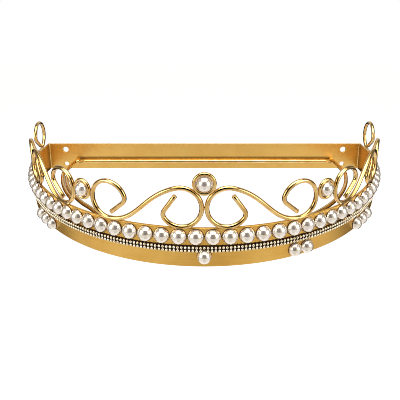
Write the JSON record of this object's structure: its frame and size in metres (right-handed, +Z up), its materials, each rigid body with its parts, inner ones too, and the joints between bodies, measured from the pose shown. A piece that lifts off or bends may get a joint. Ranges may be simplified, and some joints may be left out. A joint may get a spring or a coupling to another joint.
{
  "type": "bed crown canopy",
  "caption": "Half-round wall crown for a bed: gold band on a wall plate with wire scrolls, ringed pearls and pearl trim, and a curtain rod inside to hang the canopy from.",
  "frame": {"origin": "middle of the wall plate's back face, the face that lies on the wall", "axes": "+X to the right as seen from the room, +Y into the wall, +Z up; the crown stands out towards -Y"},
  "size_m": [0.5128, 0.2617, 0.0994],
  "materials": {
    "brushed_gold_strip": "brushed gold, satin",
    "polished_gold_wire": "polished gold",
    "pearl": "pearlescent white, glossy",
    "metal_coated_bead": "pale champagne metallic coating"
  },
  "bodies": {
    "root": {"wall_plate": "brushed_gold_strip", "front_band": "brushed_gold_strip", "rod_back_bar": "polished_gold_wire", "rod_hoop": "polished_gold_wire", "rod_left_leg": "polished_gold_wire", "scroll_front_left": "polished_gold_wire", "scroll_front_right": "polished_gold_wire", "scroll_side_left": "polished_gold_wire", "scroll_side_right": "polished_gold_wire", "scroll_rear_left": "polished_gold_wire", "scroll_rear_right": "polished_gold_wire", "crest_ring": "polished_gold_wire", "ring_left": "polished_gold_wire", "ring_right": "polished_gold_wire", "crest_pearl": "pearl", "ring_pearl_left": "pearl", "ring_pearl_right": "pearl", "pearl_row": "pearl", "band_pearl_centre": "pearl", "band_pearl_right_a": "pearl", "band_pearl_right_b": "pearl", "end_pearl_left_a": "pearl", "end_pearl_left_b": "pearl", "end_pearl_left_c": "pearl", "end_pearl_right_a": "pearl", "end_pearl_right_b": "pearl", "end_pearl_right_c": "pearl", "bead_trim_upper": "metal_coated_bead", "bead_trim_lower": "metal_coated_bead"}
  },
  "joints": []
}
